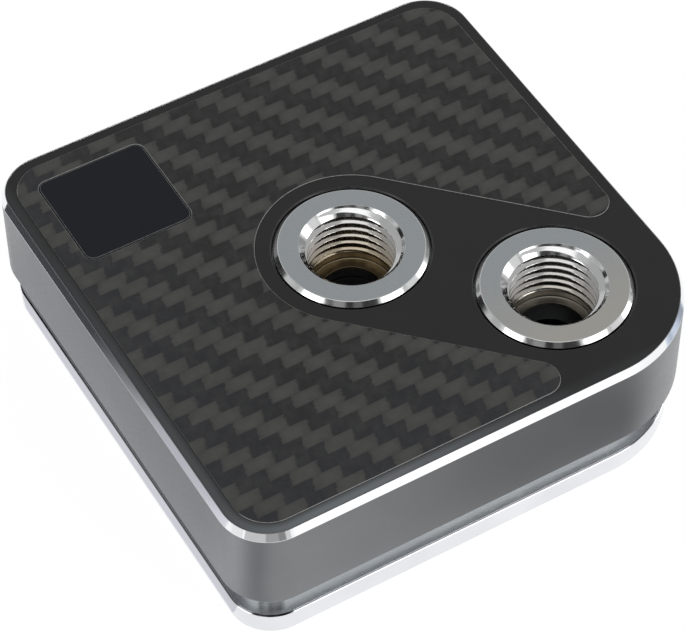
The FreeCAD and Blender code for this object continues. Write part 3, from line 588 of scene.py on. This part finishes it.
for port, centre in PORT_CENTRES.items():
    hole_radius = HOLE_RADII[port]
    collar_profile = round_off([
        (THREAD_RADIUS + THREAD_TOP - CONE_FOOT, THREAD_TOP, 0), (MOUTH_RADIUS, COLLAR_TOP, 0.03),
        (FLAT_RADIUS, COLLAR_TOP, 0.14), (FLANGE_RADIUS, BEVEL_BOTTOM, 0.07),
        (FLANGE_RADIUS, COVER_FLOOR, 0.05), (SPIGOT_RADIUS, COVER_FLOOR, 0), (SPIGOT_RADIUS, SPIGOT_SEAT, 0),
        (hole_radius, SPIGOT_SEAT, 0), (hole_radius, LEDGE, 0.04), (THREAD_RADIUS, LEDGE, 0.22),
        (THREAD_RADIUS, THREAD_BOTTOM, 0)], 12, 0.02)
    mesh = bmesh.new()
    lathe = [ring(mesh, circle(radius, centre, COLLAR_STEPS), height) for radius, height in collar_profile]
    for (radius, height), outer, inner in zip(collar_profile, lathe, lathe[1:]):
        finish = POLISHED if height > FLANGE_SEAT else FOOT
        if radius > MOUTH_RADIUS and outer[0].co.z == inner[0].co.z and height > THREAD_TOP:
            finish = TURNED
        wall(mesh, [outer, inner], finish)
    thread = bpy.data.objects.new("thread", bpy.data.meshes.new("thread"))
    bpy.context.scene.collection.objects.link(thread)
    bake(thread, tree, {
        "Pitch": THREAD_PITCH * MM, "Crest Radius": THREAD_RADIUS * MM, "Depth": THREAD_DEPTH * MM,
        "Top": THREAD_TOP * MM, "Bottom": THREAD_BOTTOM * MM, "Cone Foot": CONE_FOOT * MM,
        "Last Groove": LAST_GROOVE * MM, "First Crest": CREST_HEIGHT * MM, "Crest Angle": 60 / 360,
        "Start": 130 / 360, "Full Depth": 92 / 360, "Centre": (centre[0] * MM, centre[1] * MM, 0.0),
        "Columns": COLLAR_STEPS + 1, "Rows": THREAD_ROWS})
    known = len(mesh.faces)
    mesh.from_mesh(thread.data)
    mesh.faces.ensure_lookup_table()
    for face in mesh.faces[known:]:
        face.material_index = POLISHED if face.calc_center_median().z > POLISH_BOTTOM * MM else BORE
    bpy.data.objects.remove(thread)
    bmesh.ops.remove_doubles(mesh, verts=mesh.verts, dist=0.002 * MM)
    finishes = [turned_flat, polished, bores[port], feet[port]]
    collar = make_piece(mesh, f"{port}_threaded_collar", finishes, 22)
    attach(collar, "root")
    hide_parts(f"{port}_collar")


# Cover plate: a milled aluminium plate, black anodised, let into the housing and open round both
# collars. A shallow pocket in its top takes the carbon sheet and the small square plate.

COVER_HALF = 34.8
COVER_CORNER = 6.1
COVER_PORT_CORNER = 15.6
OPENING_RADIUS = 10.38
COUNTERSINK_RADIUS = 1.8
COUNTERSINK_BOTTOM = 20.25
INLAY_HALF = 33.45
INLAY_FLOOR = 21.0
INLAY_CORNER = 4.9
INLAY_TIP = 2.8
INLAY_PLAY = 0.05
SLOT_HALF = 12.55
PAINTED_EDGE = 1


def inlay_outline(grow):
    """Outline of the carbon sheet: a square with a slot round the ports, open to their corner."""
    half = INLAY_HALF + grow
    corner = INLAY_CORNER + grow
    tip = INLAY_TIP + grow
    slot = SLOT_HALF - grow
    reach = half - slot * math.sqrt(2)
    arc = [math.radians(225 - 4 * step) for step in range(46)]
    bend = [(slot * math.cos(a), slot * math.sin(a), 0) for a in arc]
    corners = [(half, half, corner), (-half, half, corner), (-half, -half, corner), (reach, -half, tip)]
    return round_off(corners + bend + [(half, -reach, tip)])


mesh = bmesh.new()
cover_profile = ((0.0, COVER_FLOOR), (0.0, 21.31), (0.0, 21.33), (0.02, 21.38), (0.07, TOP), (0.09, TOP))
outer = []
for inset, height in cover_profile:
    outline = plate_outline(COVER_HALF - inset, COVER_CORNER - inset, COVER_PORT_CORNER - inset)
    outer.append(ring(mesh, outline, height))
wall(mesh, outer)
top_rings = [outer[-1]]
low_rings = [outer[0]]

# The first point only gives the opening's edge its direction.
opening_profile = round_off([
    (10.9, TOP, 0), (OPENING_RADIUS + 0.2, TOP, 0.03), (OPENING_RADIUS, TOP - 0.2, 0.03),
    (OPENING_RADIUS, COVER_FLOOR, 0)], 15, 0.01)[1:]
for centre in PORT_CENTRES.values():
    opening = [ring(mesh, circle(radius, centre, 144), height) for radius, height in opening_profile]
    wall(mesh, opening[:-2], PAINTED_EDGE)
    wall(mesh, opening[-3:])
    top_rings.append(opening[0])
    low_rings.append(opening[-1])
pocket = [ring(mesh, inlay_outline(INLAY_PLAY), height) for height in (TOP, INLAY_FLOOR)]
wall(mesh, pocket)
top_rings.append(pocket[0])
pocket_rings = [pocket[1]]
for centre in COVER_SCREWS:
    hole = [ring(mesh, circle(radius, centre, 32), height) for radius, height in (
        (COUNTERSINK_RADIUS, INLAY_FLOOR), (COVER_SCREW_HOLE, COUNTERSINK_BOTTOM),
        (COVER_SCREW_HOLE, COVER_FLOOR))]
    wall(mesh, hole)
    pocket_rings.append(hole[0])
    low_rings.append(hole[-1])
floor_face(mesh, top_rings)
floor_face(mesh, pocket_rings)
floor_face(mesh, low_rings)

black_metal, tree, shader = new_material("black_anodised", {"Metallic": 0.0, "IOR": 1.5})
shades = spread(tree, grain(tree, 10.0, 3.0), 0.0, 1.0)
dark = tint(tree, shades, (0.0035, 0.0035, 0.0042), (0.0055, 0.0055, 0.0062))

# Painted glare: the plate is painted lighter along its outermost edge, most of all beside the near corner,
# next to the bright chamfer.
glare_centre = -28.55 * MM
place = axes(tree)
beyond_x = work_out(tree, "MAXIMUM", work_out(tree, "SUBTRACT", glare_centre, place["X"]), 0.0)
beyond_y = work_out(tree, "MAXIMUM", work_out(tree, "SUBTRACT", glare_centre, place["Y"]), 0.0)
reach = work_out(tree, "SQRT", work_out(tree, "ADD", work_out(tree, "MULTIPLY", beyond_x, beyond_x),
                                        work_out(tree, "MULTIPLY", beyond_y, beyond_y)))
left_fade = ramp(tree, place["Y"], 20 * MM, -30 * MM, 0.11, 0.42)
near_fade = ramp(tree, place["X"], 12 * MM, -16 * MM, 0.08, 0.98)
around = ramp(tree, work_out(tree, "SUBTRACT", place["X"], place["Y"]), -7 * MM, 8 * MM)
fade = put_node(tree, "ShaderNodeMix", {0: around, 2: left_fade, 3: near_fade}).outputs[0]
painted_rim_glare = work_out(tree, "MULTIPLY", fade, ramp(tree, reach, 4.5 * MM, 5.7 * MM))
surface(tree, shader, tint(tree, painted_rim_glare, dark, (0.158, 0.174, 0.184)),
        spread(tree, grain(tree, 0.4, 4.0), 0.30, 0.38))
roughen(tree, shader, grain(tree, 0.08, 4.0), 0.002)

# Painted reflection: the edge round each opening is painted a lighter grey than the plate.
painted_reflection_black, tree, shader = new_material("painted_reflection_edge", {"Metallic": 0.0, "IOR": 1.5})
edge_mottle = spread(tree, grain(tree, 0.6, 4.0), 0.0, 1.0)
surface(tree, shader, tint(tree, edge_mottle, (0.02, 0.02, 0.022), (0.05, 0.05, 0.053)),
        spread(tree, edge_mottle, 0.22, 0.32))

cover = make_piece(mesh, "cover_plate_black", [black_metal, painted_reflection_black])
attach(cover, "root")
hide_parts("cover_plate")


# Cover screws: five small countersunk screws of zinc plated steel, turned in flush from above to
# hold the cover plate on the housing. The inlay is glued over them and hides them.

for number in range(1, 6):
    dress(f"cover_screw_{number}", screw_steel)


# Carbon inlay: a sheet of 2/2 twill carbon cloth in clear resin, cut to shape and glued into the
# pocket. Its cut edge is broken and catches the light.

BADGE_CENTRE = (-22.65, 22.65)
BADGE_OPENING = 7.77
BADGE_OPENING_CORNER = 1.42
INLAY_TOP = 21.5
TOW = 2.04
CLOTH_START = (3.04, 31.58)
SLANT = 0.26
CUT_EDGE = 1

mesh = bmesh.new()
sheet_profile = ((0.0, INLAY_FLOOR), (0.0, 21.41), (0.0, 21.43), (0.07, INLAY_TOP), (0.09, INLAY_TOP))


def badge_outline(half, corner):
    """Outline of the small square plate or of its opening."""
    x, y = BADGE_CENTRE
    return round_off([(x + a * half, y + b * half, corner) for a, b in SQUARE_CORNERS], 9, 0.1)


outer = [ring(mesh, inlay_outline(-inset), height) for inset, height in sheet_profile]
inner = [ring(mesh, badge_outline(BADGE_OPENING + inset, BADGE_OPENING_CORNER + inset), height)
         for inset, height in sheet_profile]
for number in range(len(sheet_profile) - 1):
    finish = CUT_EDGE if number >= 2 else 0
    wall(mesh, outer[number:number + 2], finish)
    wall(mesh, inner[number:number + 2], finish)
floor_face(mesh, [outer[0], inner[0]])
floor_face(mesh, [outer[-1], inner[-1]])

# The cloth is worked out in tow widths: flat tows run across in rows, steep ones down in columns.
# Each tow lies on top for two of four crossings, one crossing further on from row to row.
carbon, tree, shader = new_material("twill_carbon", {"IOR": 1.5})
place = put_node(tree, "ShaderNodeTexCoord").outputs["Object"]
cells = put_node(tree, "ShaderNodeMapping", {
    "Vector": place, "Location": (CLOTH_START[0] / TOW, CLOTH_START[1] / TOW, 0.0),
    "Scale": (1 / (TOW * MM), -1 / (TOW * MM), 1.0)})
split = put_node(tree, "ShaderNodeSeparateXYZ", {"Vector": cells.outputs["Vector"]})
across = split.outputs["X"]
down = split.outputs["Y"]
row = work_out(tree, "FLOOR", down)
in_row = work_out(tree, "SUBTRACT", down, row)
ragged = work_out(tree, "ADD", across, spread(tree, grain(tree, 0.7, 3.0), -0.09, 0.09))
slanted = work_out(tree, "ADD", ragged, work_out(tree, "MULTIPLY_ADD", in_row, SLANT, -SLANT / 2))
along = work_out(tree, "FLOORED_MODULO", work_out(tree, "SUBTRACT", slanted, row), 4.0)
column = work_out(tree, "FLOOR", slanted)
in_column = work_out(tree, "SUBTRACT", slanted, column)
along_down = work_out(tree, "FLOORED_MODULO", work_out(tree, "SUBTRACT", column, down), 4.0)
along_down = work_out(tree, "SUBTRACT", along_down, 1.0)


def dome(value, width, power):
    """Height of a tow: 1 in its middle and 0 at its sides."""
    centred = work_out(tree, "SUBTRACT", work_out(tree, "MULTIPLY", value, 2 / width), 1.0)
    to_side = work_out(tree, "POWER", work_out(tree, "ABSOLUTE", centred), power)
    return work_out(tree, "SUBTRACT", 1.0, to_side)


flat_height = work_out(tree, "MULTIPLY", dome(in_row, 1.0, 3.0), dome(along, 2.0, 2.5))
steep_height = work_out(tree, "MULTIPLY", dome(in_column, 1.0, 3.0), dome(along_down, 2.0, 2.5))
off_middle = work_out(tree, "ABSOLUTE", work_out(tree, "SUBTRACT", along, 1.0))
is_flat = ramp(tree, off_middle, 1.09, 0.91)
fibres_x = grain(tree, 0.05, 3.0, (40, 1, 1))
fibres_y = grain(tree, 0.05, 3.0, (1, 40, 1))


def choose(low, high):
    """Takes high on the tows that run across and low on those that run down."""
    return put_node(tree, "ShaderNodeMix", {0: is_flat, 2: low, 3: high}).outputs[0]


tow_height = choose(steep_height, flat_height)
fibres = choose(fibres_y, fibres_x)
# Painted sheen: tows that run across are painted light and tows that run down dark, each lighter along its
# middle, in place of the fibres' own shine.
steep_painted_sheen = work_out(tree, "MULTIPLY_ADD", tow_height, 0.12, 0.02)
flat_painted_sheen = work_out(tree, "MULTIPLY_ADD", tow_height, 0.30, 0.60)
blotches = spread(tree, grain(tree, 1.6, 4.0), -0.15, 0.15)
shade = work_out(tree, "ADD", choose(steep_painted_sheen, flat_painted_sheen), blotches)
shade = work_out(tree, "ADD", shade, spread(tree, fibres, -0.08, 0.08))
shade = put_node(tree, "ShaderNodeClamp", {"Value": shade}).outputs["Result"]
place = axes(tree)
# Painted glare: the dark tows are painted lighter towards the left and near edges.
painted_rim_glare = ramp(tree, work_out(tree, "MINIMUM", place["X"], place["Y"]), -14 * MM, -32 * MM)
dark_tow = tint(tree, painted_rim_glare, (0.0045, 0.0050, 0.0060), (0.012, 0.013, 0.017))
surface(tree, shader, tint(tree, shade, dark_tow, (0.066, 0.065, 0.059)), spread(tree, fibres, 0.26, 0.36))
tow_relief = 0.03
fibre_relief = 0.004
relief = work_out(tree, "ADD", work_out(tree, "MULTIPLY", tow_height, tow_relief),
                  work_out(tree, "MULTIPLY", fibres, fibre_relief))
roughen(tree, shader, relief, 1.0)

cut_edge, tree, shader = new_material("cut_resin_edge", {"IOR": 1.5})
dust = spread(tree, grain(tree, 0.3, 4.0), 0.0, 1.0)
pale = tint(tree, dust, (0.18, 0.18, 0.18), (0.28, 0.28, 0.275))
# Painted shade: the cut edge is painted dark along the left side.
painted_left_shade = ramp(tree, axes(tree)["X"], -33.0 * MM, -33.3 * MM, 0.0, 0.75)
surface(tree, shader, tint(tree, painted_left_shade, pale, (0.01, 0.01, 0.01)), spread(tree, dust, 0.25, 0.4))

inlay = make_piece(mesh, "twill_carbon_sheet", [carbon, cut_edge])
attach(inlay, "root")
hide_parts("carbon_inlay")


# Badge plate: a small bare square of aluminium with a dark gloss lacquer, pressed into the inlay's
# opening. Its edge is broken all round.

BADGE_HALF = 7.65
BADGE_CORNER = 1.3
BARE_EDGE = 1

mesh = bmesh.new()
plate_profile = (
    (0.0, INLAY_FLOOR), (0.0, 21.38), (0.0, 21.40), (0.03, 21.47), (0.10, INLAY_TOP), (0.12, INLAY_TOP))
layers = [ring(mesh, badge_outline(BADGE_HALF - inset, BADGE_CORNER - inset), height)
          for inset, height in plate_profile]
wall(mesh, layers[:3])
wall(mesh, layers[2:], BARE_EDGE)
floor_face(mesh, layers[:1])
floor_face(mesh, layers[-1:])

lacquer, tree, shader = new_material("dark_gloss_lacquer", {"IOR": 1.33})
depths = spread(tree, grain(tree, 3.0, 2.0), 0.0, 1.0)
surface(tree, shader, tint(tree, depths, (0.0045, 0.0060, 0.0100), (0.0060, 0.0075, 0.0125)),
        spread(tree, grain(tree, 0.8, 3.0), 0.06, 0.12))
roughen(tree, shader, grain(tree, 2.5, 2.0), 0.002)

bare_edge, tree, shader = new_material("bare_plate_edge", {"Metallic": 0.7})
rubbed = spread(tree, grain(tree, 0.3, 4.0), 0.0, 1.0)
surface(tree, shader, tint(tree, rubbed, (0.10, 0.10, 0.11), (0.20, 0.20, 0.21)),
        spread(tree, rubbed, 0.2, 0.35))

badge = make_piece(mesh, "badge_square", [lacquer, bare_edge])
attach(badge, "root")
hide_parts("badge_plate")


# Studio: a pale floor that runs on out of sight, soft boxes on three sides, and grey cards that
# only reflections see. The camera stands where the photograph was taken.

FLOOR_HALF = 3.0
FLOOR_LEVEL = -0.02
FLOOR_GLOW = 1.1
GLOW_SHARE = 0.84
WORLD_BRIGHTNESS = 0.55


def look_from(azimuth, elevation):
    """Direction from the object towards that azimuth and elevation in degrees."""
    turn = math.radians(azimuth)
    tilt = math.radians(elevation)
    return Vector((math.cos(turn) * math.cos(tilt), math.sin(turn) * math.cos(tilt), math.sin(tilt)))


floor_mesh = bmesh.new()
floor_mesh.faces.new([floor_mesh.verts.new((x * FLOOR_HALF, y * FLOOR_HALF, FLOOR_LEVEL * MM))
                      for x, y in SQUARE_CORNERS])
floor_material, tree, shader = new_material("pale_floor", {"Roughness": 0.9})
paper = spread(tree, grain(tree, 4.0, 3.0), 0.0, 1.0)
tree.links.new(tint(tree, paper, (0.80, 0.80, 0.80), (0.82, 0.82, 0.82)), shader.inputs["Base Color"])
path = put_node(tree, "ShaderNodeLightPath")
seen = work_out(tree, "MAXIMUM", path.outputs["Is Camera Ray"], path.outputs["Is Glossy Ray"])
seen = work_out(tree, "MAXIMUM", seen, path.outputs["Is Transmission Ray"])
share = work_out(tree, "MULTIPLY", seen, GLOW_SHARE)
glow = put_node(tree, "ShaderNodeEmission", {"Color": (1, 1, 1, 1), "Strength": FLOOR_GLOW})
mixed = put_node(tree, "ShaderNodeMixShader",
                 {0: share, 1: shader.outputs["BSDF"], 2: glow.outputs["Emission"]})
tree.links.new(mixed.outputs["Shader"], tree.nodes["Material Output"].inputs["Surface"])
data = bpy.data.meshes.new("floor")
floor_mesh.to_mesh(data)
floor_mesh.free()
data.materials.append(floor_material)
floor = bpy.data.objects.new("floor", data)
bpy.context.scene.collection.objects.link(floor)

world = bpy.data.worlds.new("studio")
world.use_nodes = True
bpy.context.scene.world = world
tree = world.node_tree
path = put_node(tree, "ShaderNodeLightPath")
brightness = put_node(tree, "ShaderNodeMapRange",
                      {"Value": path.outputs["Is Camera Ray"], "To Min": WORLD_BRIGHTNESS, "To Max": 1.0})
tree.links.new(brightness.outputs["Result"], tree.nodes["Background"].inputs["Strength"])
tree.nodes["Background"].inputs["Color"].default_value = (1, 1, 1, 1)

BOX_DISTANCE = 0.7
STUDIO_CENTRE = Vector((0, 0, 0.021))


def soft_box(name, azimuths, elevations, brightness):
    """Adds a rectangular light that covers those azimuths and elevations as the object sees them."""
    middle = look_from(sum(azimuths) / 2, sum(elevations) / 2)
    light = bpy.data.lights.new(name, "AREA")
    light.shape = "RECTANGLE"
    light.size = 2 * BOX_DISTANCE * math.tan(math.radians(azimuths[1] - azimuths[0]) / 2)
    light.size_y = 2 * BOX_DISTANCE * math.tan(math.radians(elevations[1] - elevations[0]) / 2)
    light.energy = brightness * 4 * light.size * light.size_y
    lamp = bpy.data.objects.new(name, light)
    lamp.location = middle * BOX_DISTANCE + STUDIO_CENTRE
    lamp.rotation_euler = middle.to_track_quat("Z", "Y").to_euler()
    bpy.context.scene.collection.objects.link(lamp)


soft_box("left_box", (174, 199.5), (1, 37), 1.7)
soft_box("front_box", (-77, -52), (1, 38), 1.7)
soft_box("right_box", (-25, -9), (4, 22), 1.7)

# Each standing card: its azimuths and elevations in degrees, its distance in metres, its shade.
STANDING_CARDS = (
    ((-158, -146), (8, 53), 0.50, 0.08), ((-146, -129), (8, 53), 0.50, 0.27),
    ((-129, -118), (8, 53), 0.50, 0.03), ((-118, -106), (8, 53), 0.50, 0.13),
    ((-106, -84), (8, 53), 0.50, 0.04), ((-174, -70), (57, 80), 0.54, 1.10),
    ((100, 166), (24, 62), 0.55, 0.40), ((120, 144), (3, 19), 0.50, 0.02),
    ((96, 120), (-1, 7), 0.50, 0.18), ((-3, 14), (-1, 11), 0.50, 0.28),
    ((-50, -44), (10, 38), 0.50, 0.42), ((-44, -26), (10, 38), 0.50, 0.70),
    ((-156, -125), (-3.5, 6), 0.30, 0.58), ((-125, -106), (-3.5, 6), 0.30, 0.36),
    ((-106, -95), (-3.5, 6), 0.30, 0.25), ((-95, -87), (-3.5, 6), 0.30, 0.65),
    ((-82, -48), (-3.5, 2), 0.30, 1.25), ((167, 203), (-5.5, 2), 0.20, 0.86))
CARD_STEPS = 6

# The cards that lie on the floor: a place in millimetres or degrees, then the shade there.
OUTER_LEVEL = 0.3 * MM
INNER_LEVEL = 0.2 * MM
LEFT_SHADES = (
    (150, 0.06), (56, 0.06), (50, 0.15), (43, 0.26), (35, 0.47), (20, 0.56), (16, 0.72), (4, 0.75))
RIGHT_SHADES = ((-20, 0.60), (-28, 0.36), (-34, 0.40), (-42, 0.62), (-52, 0.70), (-62, 0.50), (-76, 0.80))
FRONT_SHADES = ((-40, 0.9), (-22, 0.85), (-6, 0.62), (8, 0.36), (26, 0.28), (34, 0.6), (40, 0.9))

# The front card's rows: y, and how much the shades of its columns count there.
FRONT_ROWS = ((-39.0, 1.0), (-52.0, 1.0), (-75.0, 0.0))
FRONT_END = 0.9
NEAR_CORNER = -28.7
LEFT_FLOOR = ((40, 0.80), (20, 0.70), (0, 0.66), (-15, 0.70), (-24, 0.95), (NEAR_CORNER, 1.10))
LEFT_FOOT = ((36, 0.70), (-29, 0.70))
CORNER_FLOOR = ((180, 1.10), (192, 0.95), (205, 0.66), (220, 0.50), (240, 0.42), (255, 0.42), (270, 0.70))

card_mesh = bmesh.new()
shine = card_mesh.verts.layers.float_color.new("shine")


def card_row(points, shade, tone=(1.0, 1.0, 1.0)):
    """Adds a row of points to the cards, all of one shade."""
    row = [card_mesh.verts.new(point) for point in points]
    for vertex in row:
        vertex[shine] = (*[shade * part for part in tone], 1.0)
    return row


def join_rows(rows):
    """Joins rows of points with faces."""
    for low, high in zip(rows, rows[1:]):
        for step in range(len(low) - 1):
            card_mesh.faces.new((low[step], low[step + 1], high[step + 1], high[step]))


def side_card(shades, near, far, level, tone):
    """Adds a card that lies along one side, from x near to x far in millimetres."""
    join_rows([card_row(((near * MM, y * MM, level), (far * MM, y * MM, level)), shade, tone)
               for y, shade in shades])


for azimuths, elevations, distance, shade in STANDING_CARDS:
    rows = []
    for elevation in elevations:
        points = []
        for step in range(CARD_STEPS + 1):
            turn = azimuths[0] + (azimuths[1] - azimuths[0]) * step / CARD_STEPS
            points.append(look_from(turn, elevation) * distance + STUDIO_CENTRE)
        rows.append(card_row(points, shade))
    join_rows(rows)
side_card(LEFT_SHADES, -78, -190, OUTER_LEVEL, (0.96, 0.98, 1.05))
side_card(RIGHT_SHADES, 74, 115, OUTER_LEVEL, (0.90, 1.0, 1.18))
front_rows = []
for y, weight in FRONT_ROWS:
    row = []
    for x, shade in FRONT_SHADES:
        row += card_row(((x * MM, y * MM, OUTER_LEVEL),), FRONT_END + (shade - FRONT_END) * weight)
    front_rows.append(row)
join_rows(front_rows)
side_card(LEFT_FLOOR, -39.5, -78, INNER_LEVEL, (1.0, 1.0, 1.03))
side_card(LEFT_FOOT, -34.7, -37.5, INNER_LEVEL, (1.0, 1.0, 0.745 / 0.70))
rows = []
for azimuth, shade in CORNER_FLOOR:
    arm = look_from(azimuth, 0)
    middle = Vector((NEAR_CORNER * MM, NEAR_CORNER * MM, INNER_LEVEL))
    rows.append(card_row((middle + arm * 10.8 * MM, middle + arm * 49 * MM), shade, (1.0, 1.0, 1.03)))
join_rows(rows)

card_material = bpy.data.materials.new("studio_cards")
card_material.use_nodes = True
tree = card_material.node_tree
tree.nodes.remove(tree.nodes["Principled BSDF"])
paint = put_node(tree, "ShaderNodeAttribute", attribute_name="shine")
glow = put_node(tree, "ShaderNodeEmission", {"Color": paint.outputs["Color"], "Strength": 1.0})
tree.links.new(glow.outputs["Emission"], tree.nodes["Material Output"].inputs["Surface"])
data = bpy.data.meshes.new("studio_cards")
card_mesh.to_mesh(data)
card_mesh.free()
data.materials.append(card_material)
cards = bpy.data.objects.new("studio_cards", data)
bpy.context.scene.collection.objects.link(cards)
cards.visible_camera = False
cards.visible_diffuse = False
cards.visible_shadow = False
cards.visible_transmission = False

TARGET = Vector((-4.157, -9.292, 21.4)) * MM
CAMERA_AZIMUTH = -120.595
CAMERA_ELEVATION = 49.911
DISTANCE = 381.7 * MM
FOCAL_LENGTH = 157.93
PICTURE_SHIFT = (-0.0264, -0.0125)

back = look_from(CAMERA_AZIMUTH, CAMERA_ELEVATION)
lens = bpy.data.cameras.new("camera")
lens.lens = FOCAL_LENGTH
lens.sensor_width = 36.0
lens.sensor_fit = "HORIZONTAL"
lens.shift_x, lens.shift_y = PICTURE_SHIFT
lens.clip_start = 0.01
lens.clip_end = 20.0
camera = bpy.data.objects.new("camera", lens)
camera.location = TARGET + back * DISTANCE
camera.rotation_euler = back.to_track_quat("Z", "Y").to_euler()
bpy.context.scene.collection.objects.link(camera)
bpy.context.scene.camera = camera
bpy.context.scene.view_settings.view_transform = "Standard"
